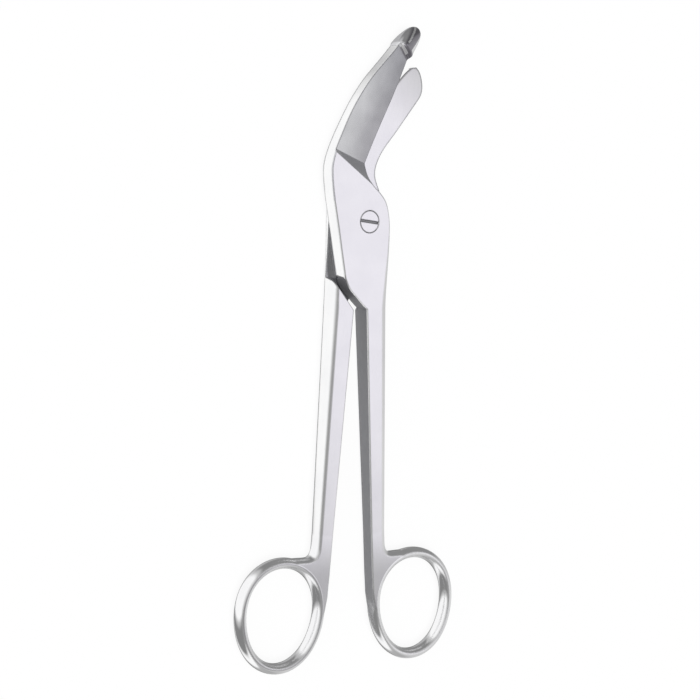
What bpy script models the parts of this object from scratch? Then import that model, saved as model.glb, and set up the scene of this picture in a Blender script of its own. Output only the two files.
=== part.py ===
"""Angled bandage and plaster shears: two forged steel halves and the screw they turn on.

Metres, +Z up. The shears lie on their back: +Z is the face that carries the screw head, +Y points to the
blade tips, and the origin is on the joint axis at the back face. Each half is drawn in its own closed
position, where the two shanks lie side by side along Y, and is then turned open about the joint axis.
"""

import math

import bmesh
import bpy
from mathutils import Vector

MM = 0.001

# Opening of each half from the closed position, as the shears are shown.
FRONT_OPEN_DEG = 5.0
REAR_OPEN_DEG = 2.7

# The joint: a thin rear lap under a thick front lap.
JOINT_THICKNESS = 0.0080
REAR_LAP_THICKNESS = 0.0019
LAP_CLEARANCE = 0.0001

# The screw.
SCREW_HEAD_DIAMETER = 0.0078
SCREW_HEAD_HEIGHT = 0.0024
SCREW_BODY_DIAMETER = 0.0046
SCREW_SLOT_WIDTH = 0.00095
SCREW_SLOT_DEPTH = 0.0009
SCREW_SLOT_DEG = -5.5
SCREW_CHAMFER = 0.00015
HEAD_CLEARANCE = 0.00012
BODY_CLEARANCE = 0.00006
SEAT_CLEARANCE = 0.0001

# The shanks. In the closed position they stand each side of a line left of the joint axis.
PARTING_X = -0.0028
SHANK_GAP = 0.0010
SHANK_TOP_WIDTH = 0.0094
SHANK_END_WIDTH = 0.0068
SHANK_END_THICKNESS = 0.0056
SHANK_TOP_Y = -0.031
SHANK_OUTER_ROUND = 0.0030
SHANK_END_ROUND = 0.0023
SHANK_INNER_ROUND = 0.0006
LAP_EDGE_ROUND = 0.0005
LAP_ROUND_START = -0.002
FRONT_SHOULDER_DROP = 0.0010
FRONT_SHOULDER_DEG = 49.3
REAR_SHOULDER_RISE = 0.0004
REAR_SHOULDER_DEG = 133.5
SHOULDER_LEAN = 0.0012

# The web: a hollow corner that carries the shank's outer side over to the top of its finger ring.
WEB_LENGTH = 0.00815
WEB_ROUND = 0.0048
WEB_RING_DEG = 100.0

# The finger rings: egg-shaped tubes of oval section, each a little way out from its shank's inner side.
RING_SETBACK = 0.0002
RING_REACH = 0.1409
RING_HALF_LENGTH = 0.01885
RING_HALF_WIDTH = 0.0161
RING_EGG = 0.00028
RING_TUBE_WIDTH = 0.0038
RING_TUBE_DEPTH = 0.0057
RING_TUBE_FULLNESS = 2.3

# The front blade and its probe nose.
SPINE_ROOT_HEIGHT = 0.0057
SPINE_MIDDLE_HEIGHT = 0.0052
SPINE_TIP_HEIGHT = 0.0054
CUTTING_EDGE_LAND = 0.0002
GRIND_HOLLOW = 0.0002
FACE_EDGE_BEVEL = 0.0003
NOSE_LENGTH = 0.0120
NOSE_HALF_WIDTH = 0.0046
NOSE_AXIS_DEG = 39.5
NOSE_OUTER_SHARE = 0.84
NOSE_ROOT_X = 0.01785
NOSE_ROOT_Y = 0.05865
NOSE_STEP = 0.0009
NOSE_STEP_RATIO = 1.2
NOSE_RISE_RATIO = 0.3
NOSE_FALL_RATIO = 0.5
NOSE_FLOOR = 0.00015

# The rear blade.
REAR_EDGE_LAND = 0.0003
REAR_GRIND_WIDTH = 0.0038

MATING_Z = REAR_LAP_THICKNESS + LAP_CLEARANCE
MIDDLE_Z = JOINT_THICKNESS / 2
RING_OFFSET = SHANK_GAP / 2 + RING_SETBACK + RING_TUBE_WIDTH / 2 + RING_HALF_WIDTH
RING_TOP_Y = -RING_REACH + RING_HALF_LENGTH + RING_TUBE_WIDTH / 2
SHANK_END_Y = RING_TOP_Y + WEB_LENGTH

# How far a cutting shape reaches past the face it opens.
CUT_OVERRUN = 0.002

RING_STATIONS = 72
RING_SIDES = 24
ROUND_STEPS = 5
INNER_STEPS = 3
HOLE_SIDES = 64


def start_scene():
    """Empty the scene and make the collections for the shears and for the shapes that cut them."""
    for obj in list(bpy.data.objects):
        bpy.data.objects.remove(obj, do_unlink=True)
    parts = bpy.data.collections.new("surgical_scissors")
    cutters = bpy.data.collections.new("cutters")
    bpy.context.scene.collection.children.link(parts)
    bpy.context.scene.collection.children.link(cutters)
    return parts, cutters


def steel(name, colour, roughness):
    """A bare steel material."""
    material = bpy.data.materials.new(name)
    material.use_nodes = True
    shader = material.node_tree.nodes["Principled BSDF"]
    shader.inputs["Base Color"].default_value = (*colour, 1.0)
    shader.inputs["Metallic"].default_value = 1.0
    shader.inputs["Roughness"].default_value = roughness
    return material


def smooth_line(points, steps):
    """Points of a Catmull-Rom curve through plan points, with a number of steps in each span."""
    last = len(points) - 1
    line = []
    for i in range(last):
        p0, p1, p2, p3 = (Vector(points[min(max(i + k, 0), last)]) for k in (-1, 0, 1, 2))
        for step in range(steps):
            t = step / steps
            line.append(0.5 * (2 * p1 + (p2 - p0) * t + (2 * p0 - 5 * p1 + 4 * p2 - p3) * t ** 2
                               + (3 * p1 - p0 - 3 * p2 + p3) * t ** 3))
    line.append(Vector(points[-1]))
    return line


def add_object(name, mesh, collection):
    """An object of a mesh, in a collection, with its faces turned out."""
    form = bmesh.new()
    form.from_mesh(mesh)
    bmesh.ops.recalc_face_normals(form, faces=form.faces)
    form.to_mesh(mesh)
    form.free()
    obj = bpy.data.objects.new(name, mesh)
    collection.objects.link(obj)
    return obj


def loft(name, sections, collection, closed=False):
    """A solid through rings of points that all have the same count."""
    form = bmesh.new()
    rings = [[form.verts.new(point) for point in section] for section in sections]
    spans = len(rings) if closed else len(rings) - 1
    for i in range(spans):
        near, far = rings[i], rings[(i + 1) % len(rings)]
        for j in range(len(near)):
            k = (j + 1) % len(near)
            form.faces.new((near[j], near[k], far[k], far[j]))
    if not closed:
        form.faces.new(rings[0])
        form.faces.new(rings[-1])
    mesh = bpy.data.meshes.new(name)
    form.to_mesh(mesh)
    form.free()
    return add_object(name, mesh, collection)


def cylinder(name, radius, low, high, collection):
    """An upright cylinder on the joint axis."""
    form = bmesh.new()
    bmesh.ops.create_cone(form, cap_ends=True, segments=HOLE_SIDES, radius1=radius, radius2=radius,
                          depth=high - low)
    bmesh.ops.translate(form, verts=form.verts, vec=(0, 0, (low + high) / 2))
    mesh = bpy.data.meshes.new(name)
    form.to_mesh(mesh)
    form.free()
    return add_object(name, mesh, collection)


def combine(piece, tool, operation):
    """Join a tool shape to a piece or cut it away, and hide the tool."""
    step = piece.modifiers.new(tool.name, "BOOLEAN")
    step.object = tool
    step.operation = operation
    step.solver = "EXACT"
    tool.parent = piece
    tool.hide_render = True
    tool.display_type = "WIRE"


def finish(piece, material):
    """Close hair-thin seams, and shade smooth with the real edges kept sharp."""
    seams = piece.modifiers.new("seams", "WELD")
    seams.merge_threshold = 0.00002
    piece.data.materials.append(material)
    piece.data.shade_smooth()
    piece.data.set_sharp_from_angle(angle=math.radians(35))


def blend(start, end, t):
    """A value between two others, held at the ends."""
    return start + (end - start) * min(max(t, 0.0), 1.0)


def ring_point(angle):
    """Centre line of the finger ring, from the ring's middle, with +X away from the other ring."""
    mean = (RING_HALF_LENGTH + RING_HALF_WIDTH) / 2
    swing = (RING_HALF_LENGTH - RING_HALF_WIDTH) / 2
    radius = mean - swing * math.cos(2 * angle) + RING_EGG * math.sin(3 * angle)
    return Vector((RING_OFFSET + radius * math.cos(angle), -RING_REACH + radius * math.sin(angle)))


def oval(centre, across, half_width, half_depth, low_z, fullness, count):
    """Points of a full oval that stands upright on a plan direction."""
    points = []
    for i in range(count):
        angle = 2 * math.pi * i / count
        c, s = math.cos(angle), math.sin(angle)
        side = math.copysign(abs(c) ** (2 / fullness), c) * half_width
        rise = math.copysign(abs(s) ** (2 / fullness), s) * half_depth
        plan = centre + across * side
        points.append((plan.x, plan.y, low_z + half_depth + rise))
    return points


def outward(points, side):
    """Plan points given outward from the parting line, for the right (+1) or left (-1) half."""
    return [(PARTING_X + side * x, y, z) for x, y, z in points]


def ring_sections(side):
    """The finger ring as a closed row of oval sections."""
    sections = []
    nudge = 1e-4
    for i in range(RING_STATIONS):
        angle = 2 * math.pi * i / RING_STATIONS
        here = ring_point(angle)
        run = ring_point(angle + nudge) - ring_point(angle - nudge)
        across = Vector((run.y, -run.x)).normalized()
        low = MIDDLE_Z - RING_TUBE_DEPTH / 2
        section = oval(here, across, RING_TUBE_WIDTH / 2, RING_TUBE_DEPTH / 2, low,
                       RING_TUBE_FULLNESS, RING_SIDES)
        sections.append(outward(section, side))
    return sections


def corner(edge, top, z, up, rise, steps):
    """A rounded long edge: points from the side wall to the face, in one section."""
    points = []
    for i in range(steps + 1):
        turn = math.pi / 2 * i / steps
        plan = edge.lerp(top, 1 - math.cos(turn))
        points.append((plan.x, plan.y, z - up * rise * (1 - math.sin(turn))))
    return points


def shank_stations():
    """The shank and the web into the ring: inner edge, outer edge, outer flat, thickness and rounds.

    Plan points are given outward from the parting line. The flat point is where the outer round ends.
    The web's places are shares of its own length, width and round.
    """
    inner = SHANK_GAP / 2
    stations = []
    for i in range(9):
        t = i / 8
        y = blend(SHANK_TOP_Y, SHANK_END_Y, t)
        outer = inner + blend(SHANK_TOP_WIDTH, SHANK_END_WIDTH, t)
        roundness = blend(SHANK_OUTER_ROUND, SHANK_END_ROUND, t)
        stations.append(((inner, y), (outer, y), (outer - roundness, y),
                         blend(JOINT_THICKNESS, SHANK_END_THICKNESS, t), roundness,
                         SHANK_INNER_ROUND, SHANK_INNER_ROUND))

    # how far down the inner side, how far across to the ring, how high above it, and the round's turn
    outer = inner + SHANK_END_WIDTH
    across = ring_point(math.radians(WEB_RING_DEG)).x - outer
    web = [(0.55, 0.0, 1.0, 5), (0.86, 0.012, 0.50, 12), (1.04, 0.06, 0.19, 29), (1.20, 0.17, -0.02, 49),
           (1.35, 0.34, -0.10, 71), (1.50, 0.61, -0.10, 82), (1.62, 0.85, -0.07, 87), (1.72, 1.0, -0.08, 87)]
    for i, (down, share, height, turn) in enumerate(web):
        roundness = SHANK_END_ROUND * blend(1.0, 0.87, (i - 1) / 3)
        edge = Vector((outer + across * share, RING_TOP_Y + WEB_ROUND * height))
        turn = math.radians(turn)
        flat = edge - Vector((math.cos(turn), math.sin(turn))) * roundness
        stations.append(((inner, SHANK_END_Y - WEB_LENGTH * down), edge, flat, SHANK_END_THICKNESS,
                         roundness, SHANK_INNER_ROUND, SHANK_INNER_ROUND))

    # from here the outer side runs hidden inside the ring's tube
    last_down = SHANK_END_Y - WEB_LENGTH * 1.84
    for i in range(9):
        t = i / 8
        on_ring = ring_point(math.radians(blend(102, 186, t)))
        y = blend(last_down, -RING_REACH - RING_TUBE_WIDTH / 2, t)
        inner_point = Vector((blend(inner, inner + 0.9 * MM, (t - 0.5) / 0.5), y))
        flat = on_ring + (inner_point - on_ring).normalized() * 0.1 * MM
        stations.append((inner_point, on_ring, flat, SHANK_END_THICKNESS, 0.1 * MM,
                         blend(SHANK_INNER_ROUND, 1.0 * MM, t), blend(SHANK_INNER_ROUND, 2.4 * MM, t)))
    return stations


def blade_stations(strip, side):
    """Stations of a lap and blade from its two plan outlines, written from the tip to the shank."""
    stations = []
    start = LAP_ROUND_START
    inner_line = smooth_line([inner for inner, outer in strip], 2)
    outer_line = smooth_line([outer for inner, outer in strip], 2)
    for inner, outer in zip(inner_line, outer_line):
        inner = Vector(((inner.x * MM - PARTING_X) * side, inner.y * MM))
        outer = Vector(((outer.x * MM - PARTING_X) * side, outer.y * MM))
        roundness = blend(LAP_EDGE_ROUND, SHANK_OUTER_ROUND, (outer.y - start) / (SHANK_TOP_Y - start))
        flat = outer + (inner - outer).normalized() * roundness
        stations.append((inner, outer, flat, JOINT_THICKNESS, roundness, FACE_EDGE_BEVEL, FACE_EDGE_BEVEL))
    return stations


def handle(name, strip, side, parts, cutters):
    """Blade, lap, shank and web of one half, with its finger ring."""
    sections = []
    for station in blade_stations(strip, side) + shank_stations():
        inner, outer, flat, thick, outer_rise, inner_reach, inner_rise = station
        low, high = MIDDLE_Z - thick / 2, MIDDLE_Z + thick / 2
        inner, outer, flat = Vector(inner), Vector(outer), Vector(flat)
        inner_flat = inner + (flat - inner).normalized() * inner_reach
        section = corner(outer, flat, high, 1, outer_rise, ROUND_STEPS)
        section += reversed(corner(inner, inner_flat, high, 1, inner_rise, INNER_STEPS))
        section += corner(inner, inner_flat, low, -1, inner_rise, INNER_STEPS)
        section += reversed(corner(outer, flat, low, -1, outer_rise, ROUND_STEPS))
        sections.append(outward(section, side))
    piece = loft(name, sections, parts)
    ring = loft(name + "_ring", ring_sections(side), cutters, closed=True)
    combine(piece, ring, "UNION")
    return piece


def prism(name, low_outline, high_outline, low, high, cutters):
    """A block between two outlines of the same count at two heights."""
    bottom = [(x, y, low) for x, y in low_outline]
    top = [(x, y, high) for x, y in high_outline]
    return loft(name, [bottom, top], cutters)


def shoulder_pocket(name, foot, degrees, low, high, lean, cutters):
    """The space beyond a slanted shoulder, milled away to leave the lap thin."""
    turn = math.radians(degrees)
    run = Vector((math.cos(turn), math.sin(turn)))
    away = Vector((-run.y, run.x))
    if away.y < 0:
        away = -away
    far = 12 * JOINT_THICKNESS
    start, end = Vector(foot) - run * far, Vector(foot) + run * far
    base = [start, end, end + away * 3 * far, start + away * 3 * far]
    shift = -away * lean
    tilted = [start + shift, end + shift, base[2], base[3]]
    return prism(name, base, tilted, low, high, cutters)


# Plan outlines of the laps and blades in millimetres, each half in its own closed position,
# in pairs from the blade's tip to the shank: first the side towards the other shank, then the outer side.
FRONT_STRIP = [
    ((14.9, 61.9), (21.8, 56.6)),
    ((11.4, 58.4), (20.2, 53.4)),
    ((7.4, 54.6), (17.9, 48.8)),
    ((2.4, 49.7), (14.6, 42.7)),
    ((-3.1, 42.8), (11.0, 36.4)),
    ((-7.5, 36.0), (7.6, 30.4)),
    ((-11.5, 29.1), (4.6, 24.8)),
    ((-13.9, 23.9), (2.7, 21.2)),
    ((-15.0, 20.0), (1.6, 18.9)),
    ((-15.15, 16.5), (0.9, 16.6)),
    ((-14.95, 12.5), (1.2, 14.4)),
    ((-14.6, 8.8), (2.7, 12.3)),
    ((-14.1, 5.0), (5.2, 9.8)),
    ((-13.6, 1.3), (7.6, 6.3)),
    ((-12.9, -4.0), (8.7, 0.6)),
    ((-12.2, -10.0), (8.7, -6.0)),
    ((-11.4, -16.2), (8.35, -12.5)),
    ((-10.9, -19.6), (8.0, -17.0)),
    ((-9.3, -23.3), (7.65, -21.5)),
    ((-6.2, -26.9), (7.35, -25.5)),
    ((-3.4, -30.0), (7.15, -28.8)),
]
REAR_STRIP = [
    ((18.6, 57.1), (17.0, 56.8)),
    ((20.2, 55.6), (15.7, 55.9)),
    ((21.4, 53.0), (14.2, 54.6)),
    ((22.0, 49.9), (12.7, 52.9)),
    ((21.4, 46.9), (11.0, 50.8)),
    ((19.1, 43.3), (9.0, 48.2)),
    ((15.6, 38.1), (5.2, 42.6)),
    ((11.8, 32.5), (1.4, 36.6)),
    ((7.8, 26.9), (-2.4, 30.4)),
    ((5.6, 22.7), (-5.6, 26.0)),
    ((4.6, 19.0), (-8.2, 22.0)),
    ((4.8, 16.2), (-10.6, 17.6)),
    ((5.9, 13.6), (-12.2, 13.4)),
    ((7.2, 11.0), (-13.2, 9.4)),
    ((8.5, 5.6), (-13.7, 4.5)),
    ((8.9, -0.5), (-13.4, -1.0)),
    ((8.7, -7.0), (-13.1, -7.0)),
    ((8.0, -13.0), (-12.9, -12.0)),
    ((5.2, -18.5), (-12.8, -17.0)),
    ((1.6, -22.6), (-12.75, -21.5)),
    ((-1.4, -26.6), (-12.7, -25.5)),
    ((-3.0, -30.0), (-12.7, -28.8)),
]


def grinding_wheel(cutters):
    """What the blade's hollow grind takes away, from its run-out at the joint to the nose."""
    edge_z = MATING_Z + CUTTING_EDGE_LAND
    root_z = MATING_Z + SPINE_ROOT_HEIGHT
    middle_z = MATING_Z + SPINE_MIDDLE_HEIGHT
    tip_z = MATING_Z + SPINE_TIP_HEIGHT
    above = 2 * JOINT_THICKNESS
    climb = JOINT_THICKNESS + 2 * CUT_OVERRUN
    runout = [
        (Vector((-15.8 * MM, 21.5 * MM, climb)), Vector((-0.2 * MM, 6.0 * MM, climb))),
        (Vector((-13.7 * MM, 25.6 * MM, JOINT_THICKNESS)), Vector((5.2 * MM, 10.2 * MM, JOINT_THICKNESS))),
    ]
    left = [(-13.3, 26.2, root_z), (-11.0, 30.0, root_z), (-6.8, 37.1, middle_z), (-2.4, 43.7, middle_z),
            (3.0, 50.4, middle_z), (8.2, 55.4, middle_z), (14.0, 60.8, tip_z), (19.0, 66.0, tip_z)]
    right = [(2.5, 20.3, edge_z), (4.8, 25.2, edge_z), (8.2, 31.4, edge_z), (11.5, 37.4, edge_z),
             (15.1, 43.6, edge_z), (18.4, 49.8, edge_z), (21.2, 55.4, edge_z), (24.0, 61.0, edge_z)]
    left = smooth_line([(x * MM, y * MM, z) for x, y, z in left], 3)
    right = smooth_line([(x * MM, y * MM, z) for x, y, z in right], 3)
    across_steps = 6
    reach = 2 * CUT_OVERRUN
    sections = []
    for i, (spine, edge) in enumerate(runout + list(zip(left, right))):
        run = edge - spine
        width = run.to_2d().length
        hollow = GRIND_HOLLOW * min(max((i - 3) / 4, 0.0), 1.0)
        section = []
        for step in range(across_steps + 1):
            t = (-reach + (width + 2 * reach) * step / across_steps) / width
            inside = min(max(t, 0.0), 1.0)
            point = spine + run * t
            section.append((point.x, point.y, point.z - hollow * 4 * inside * (1 - inside)))
        section.append((section[-1][0], section[-1][1], above))
        section.append((section[0][0], section[0][1], above))
        sections.append(section)
    return loft("grinding_wheel", sections, cutters)


def soft_min(a, b, reach):
    """The lower of two heights, with the corner between them eased over a reach."""
    share = min(max(0.5 + 0.5 * (b - a) / reach, 0.0), 1.0)
    return b + (a - b) * share - reach * share * (1 - share)


def nose(cutters):
    """The blunt probe at the end of the front blade, which also shields the rear tip."""
    turn = math.radians(NOSE_AXIS_DEG)
    axis = Vector((math.sin(turn), math.cos(turn)))
    across = Vector((axis.y, -axis.x))
    root = Vector((NOSE_ROOT_X, NOSE_ROOT_Y))
    half_depth = (JOINT_THICKNESS - NOSE_FLOOR) / 2
    middle = NOSE_FLOOR + half_depth
    start = 0.5 * MM
    count = 20
    sections = []
    for i in range(count):
        t = i / (count - 1)
        s = start + (NOSE_LENGTH - start) * (0.35 * t + 0.65 * math.sin(math.pi / 2 * t))
        body = math.sqrt(max(1 - (s / NOSE_LENGTH) ** 2.6, 0.0006))
        along = (s - start) / NOSE_LENGTH
        half_width = NOSE_HALF_WIDTH * body * blend(0.965, 1.0, along / 0.125)
        fullness = blend(5.0, 2.2, along / 0.58)
        centre = root + axis * s
        section = oval(centre, across, half_width, half_depth * body, middle - half_depth * body,
                       fullness, 32)
        # the top rises from the ground face by a step and a slope, the underside falls below the blade
        climb = min((s - start) * NOSE_STEP_RATIO, NOSE_STEP) + (s - start) * NOSE_RISE_RATIO
        ease = blend(0.02 * MM, 1.2 * MM, along / 0.42)
        outer_share = blend(1.0, NOSE_OUTER_SHARE, along / 0.3)
        fitted = []
        for x, y, z in section:
            side = (Vector((x, y)) - centre).dot(across)
            if side > 0:
                x, y = centre + across * side * outer_share
            ground = MATING_Z + blend(SPINE_TIP_HEIGHT, CUTTING_EDGE_LAND, 0.5 + side / (2 * NOSE_HALF_WIDTH))
            bottom = MATING_Z + 0.05 * MM - (s - start) * NOSE_FALL_RATIO
            fitted.append((x, y, max(soft_min(z, ground - 0.2 * MM + climb, ease), bottom)))
        sections.append(fitted)
    return loft("nose", sections, cutters)


def front_half(parts, cutters, material):
    """Blade, probe nose, thick lap, right shank and right finger ring: one forging."""
    piece = handle("front_half", FRONT_STRIP, 1, parts, cutters)
    inner_x = PARTING_X + SHANK_GAP / 2
    foot = (inner_x, SHANK_TOP_Y - FRONT_SHOULDER_DROP)
    pocket = shoulder_pocket("front_pocket", foot, FRONT_SHOULDER_DEG, -CUT_OVERRUN, MATING_Z, 0.0, cutters)
    combine(piece, pocket, "DIFFERENCE")
    combine(piece, grinding_wheel(cutters), "DIFFERENCE")
    combine(piece, nose(cutters), "UNION")
    seat_z = JOINT_THICKNESS - SCREW_HEAD_HEIGHT - SEAT_CLEARANCE
    above = JOINT_THICKNESS + CUT_OVERRUN
    bore = cylinder("front_bore", SCREW_BODY_DIAMETER / 2 + BODY_CLEARANCE, -CUT_OVERRUN, above, cutters)
    seat = cylinder("head_seat", SCREW_HEAD_DIAMETER / 2 + HEAD_CLEARANCE, seat_z, above, cutters)
    combine(piece, bore, "DIFFERENCE")
    combine(piece, seat, "DIFFERENCE")
    piece.rotation_euler.z = math.radians(FRONT_OPEN_DEG)
    finish(piece, material)
    return piece


def rear_grind(cutters):
    """What the grind on the back of the rear blade takes away, up to the cutting edge."""
    corners = [Vector(outer) * MM for inner, outer in REAR_STRIP[2:13]]
    edge = [a.lerp(b, 0.5) for a, b in zip(corners, corners[1:])]
    sections = []
    last = len(edge) - 1
    for i, point in enumerate(edge):
        run = (edge[min(i + 1, last)] - edge[max(i - 1, 0)]).normalized()
        inward = Vector((-run.y, run.x))
        if i == 0:
            point = point - run * 2 * CUT_OVERRUN
        fade = 1.0 if i < last - 1 else 0.0
        rise = (REAR_LAP_THICKNESS - REAR_EDGE_LAND) / REAR_GRIND_WIDTH * fade
        drop = 0.4 * MM * (1 - fade)
        reach = 1.5 * CUT_OVERRUN
        near, far = point + inward * REAR_GRIND_WIDTH, point - inward * reach
        sections.append([(near.x, near.y, -drop), (far.x, far.y, rise * (REAR_GRIND_WIDTH + reach) - drop),
                         (far.x, far.y, -reach), (near.x, near.y, -reach)])
    return loft("rear_grind", sections, cutters)


def rear_half(parts, cutters, material):
    """Thin blade, thin lap, shoulder, left shank and left finger ring: one forging."""
    piece = handle("rear_half", REAR_STRIP, -1, parts, cutters)
    inner_x = PARTING_X - SHANK_GAP / 2
    foot = (inner_x, SHANK_TOP_Y + REAR_SHOULDER_RISE)
    pocket = shoulder_pocket("rear_pocket", foot, REAR_SHOULDER_DEG, REAR_LAP_THICKNESS,
                             JOINT_THICKNESS + CUT_OVERRUN, SHOULDER_LEAN, cutters)
    combine(piece, pocket, "DIFFERENCE")
    combine(piece, rear_grind(cutters), "DIFFERENCE")
    bore = cylinder("rear_bore", SCREW_BODY_DIAMETER / 2 + BODY_CLEARANCE, -CUT_OVERRUN,
                    JOINT_THICKNESS + CUT_OVERRUN, cutters)
    combine(piece, bore, "DIFFERENCE")
    piece.rotation_euler.z = -math.radians(REAR_OPEN_DEG)
    finish(piece, material)
    return piece


def pivot_screw(parts, cutters, material):
    """The slotted joint screw: a turned profile with a slot across its head."""
    head, body = SCREW_HEAD_DIAMETER / 2, SCREW_BODY_DIAMETER / 2
    top, under = JOINT_THICKNESS, JOINT_THICKNESS - SCREW_HEAD_HEIGHT
    chamfer = SCREW_CHAMFER
    profile = [(0, top), (head - chamfer, top), (head, top - chamfer), (head, under), (body, under),
               (body, chamfer), (body - chamfer, 0), (0, 0)]
    mesh = bpy.data.meshes.new("pivot_screw")
    mesh.from_pydata([(x, 0, z) for x, z in profile], [(i, i + 1) for i in range(len(profile) - 1)], [])
    piece = bpy.data.objects.new("pivot_screw", mesh)
    parts.objects.link(piece)
    turn = piece.modifiers.new("turn", "SCREW")
    turn.angle = math.radians(360)
    turn.steps = HOLE_SIDES
    turn.render_steps = HOLE_SIDES
    turn.use_merge_vertices = True
    turn.merge_threshold = 0.000001
    turn.use_normal_calculate = True
    form = bmesh.new()
    bmesh.ops.create_cube(form, size=1.0)
    bmesh.ops.scale(form, verts=form.verts, vec=(4 * head, SCREW_SLOT_WIDTH, 2 * SCREW_SLOT_DEPTH))
    slot_mesh = bpy.data.meshes.new("screw_slot")
    form.to_mesh(slot_mesh)
    form.free()
    slot = add_object("screw_slot", slot_mesh, cutters)
    slot.location.z = top
    slot.rotation_euler.z = math.radians(SCREW_SLOT_DEG)
    combine(piece, slot, "DIFFERENCE")
    finish(piece, material)
    return piece


def main():
    parts, cutters = start_scene()
    satin = steel("satin_steel", (0.74, 0.73, 0.77), 0.32)
    polished = steel("polished_steel", (0.78, 0.78, 0.80), 0.18)
    screw_steel = steel("screw_steel", (0.80, 0.80, 0.83), 0.28)
    front_half(parts, cutters, satin)
    rear_half(parts, cutters, polished)
    pivot_screw(parts, cutters, screw_steel)


main()
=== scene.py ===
"""Looks for the angled bandage shears: finer steel surfaces, studio light and the camera."""

import math

import bmesh
import bpy
import numpy as np
from mathutils import Matrix, Vector


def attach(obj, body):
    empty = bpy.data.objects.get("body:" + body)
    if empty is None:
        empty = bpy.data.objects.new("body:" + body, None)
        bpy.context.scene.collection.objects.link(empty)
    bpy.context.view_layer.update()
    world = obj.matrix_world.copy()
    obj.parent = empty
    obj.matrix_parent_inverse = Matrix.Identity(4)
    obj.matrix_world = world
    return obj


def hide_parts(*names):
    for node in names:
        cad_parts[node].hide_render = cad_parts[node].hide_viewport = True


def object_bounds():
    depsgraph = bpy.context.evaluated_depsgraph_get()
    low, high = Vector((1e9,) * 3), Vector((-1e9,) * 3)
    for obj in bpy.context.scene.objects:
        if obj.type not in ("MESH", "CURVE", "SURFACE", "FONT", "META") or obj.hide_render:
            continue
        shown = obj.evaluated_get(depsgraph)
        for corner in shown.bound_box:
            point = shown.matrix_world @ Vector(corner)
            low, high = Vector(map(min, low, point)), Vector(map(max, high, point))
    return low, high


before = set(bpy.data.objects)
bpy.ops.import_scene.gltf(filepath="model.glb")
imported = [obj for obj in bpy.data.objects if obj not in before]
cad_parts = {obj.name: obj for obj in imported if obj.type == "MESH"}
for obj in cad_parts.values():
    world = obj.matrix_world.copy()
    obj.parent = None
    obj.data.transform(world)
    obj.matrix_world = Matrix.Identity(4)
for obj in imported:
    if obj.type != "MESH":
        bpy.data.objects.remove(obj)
cad_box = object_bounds()

# Sizes are in millimetres. Each half is drawn in its own closed position, where the shanks lie side by side
# along Y, and is then turned open about the joint axis.
MM = 0.001
WELD = 0.03
OVERCUT = 2.0
FRONT_OPEN = math.radians(5.0)
REAR_OPEN = math.radians(-2.7)

# The joint and the shanks.
THICK = 8.0
REAR_LAP = 1.9
MATING = 2.0
MIDDLE = THICK / 2
PARTING = -2.8
INNER_SIDE = 0.5
SHANK_TOP = -31.0
SHANK_WIDTH = (9.4, 6.8)
SHANK_ROUND = (3.0, 2.3)
SHANK_THICK = (8.0, 5.6)
INNER_ROUND = 0.6
LAP_ROUND = 0.5
LAP_ROUND_START = -2.0
FACE_EDGE = 0.45

# The slanted shoulders: a point on each foot, its direction in degrees, and how far the rear one leans.
FRONT_SHOULDER = (PARTING + INNER_SIDE, SHANK_TOP - 1.0)
FRONT_SHOULDER_DEG = 49.3
REAR_SHOULDER = (PARTING - INNER_SIDE, SHANK_TOP + 0.4)
REAR_SHOULDER_DEG = 133.5
REAR_SHOULDER_LEAN = 1.2

# The finger rings and the webs that carry the shanks over to them.
RING_REACH = 140.9
RING_HALF_LENGTH = 18.85
RING_HALF_WIDTH = 16.1
RING_EGG = 0.28
RING_SETBACK = 0.2
RING_STATIONS = 160
TUBE_WIDTH = 3.8
TUBE_DEPTH = 5.7
TUBE_FULLNESS = 2.1
TUBE_SIDES = 48
RING_X = INNER_SIDE + RING_SETBACK + TUBE_WIDTH / 2 + RING_HALF_WIDTH
RING_TOP = -RING_REACH + RING_HALF_LENGTH + TUBE_WIDTH / 2
WEB_LENGTH = 8.15
WEB_ROUND = 4.8
SHANK_END = RING_TOP + WEB_LENGTH

# The web's stations: shares down the inner side, across to the ring and above its top, and a turn in degrees.
WEB_STATIONS = [
    (0.55, 0.0, 1.0, 5), (0.86, 0.012, 0.50, 12), (1.04, 0.06, 0.19, 29), (1.20, 0.17, -0.02, 49),
    (1.35, 0.34, -0.10, 71), (1.50, 0.61, -0.12, 82), (1.62, 0.85, -0.14, 87), (1.72, 1.0, -0.16, 87),
]
WEB_RING_DEG = 100

# Beside the ring: how far round it the hidden outer side runs, where it starts, and the inner side's bow.
HIDDEN_DEG = (102, 186)
HIDDEN_START = 1.84
INNER_BOW = 0.9
INNER_END_ROUND = (1.0, 2.4)
HIDDEN_ROUND = 0.1

# The blades and their grinds.
SPINE_HEIGHTS = (5.7, 5.2, 5.4)
EDGE_LAND = 0.2
HOLLOW = 0.2
WHEEL_MARGIN = 4.0
REAR_GRIND_WIDTH = 3.8
REAR_EDGE_LAND = 0.3
REAR_GRIND_PAST = 3.0

# The probe nose, from the end of the ground face, with its step and its crowned roof.
NOSE_START = 0.5
NOSE_LENGTH = 12.0
NOSE_HALF_WIDTH = 4.6
NOSE_AXIS = math.radians(39.5)
NOSE_ROOT = (17.85, 58.65)
NOSE_OUTER_SHARE = 0.84
NOSE_FLOOR = 0.15
NOSE_CREST = -1.6
NOSE_STATIONS = 56
NOSE_SIDES = 96
STEP_DELAY = 0.5
STEP_LENGTH = 1.7
ROOF_SINK = 0.05
FALL_LEFT = 0.10
FALL_RIGHT = (0.22, 0.06)
RIM = 0.15

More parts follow.
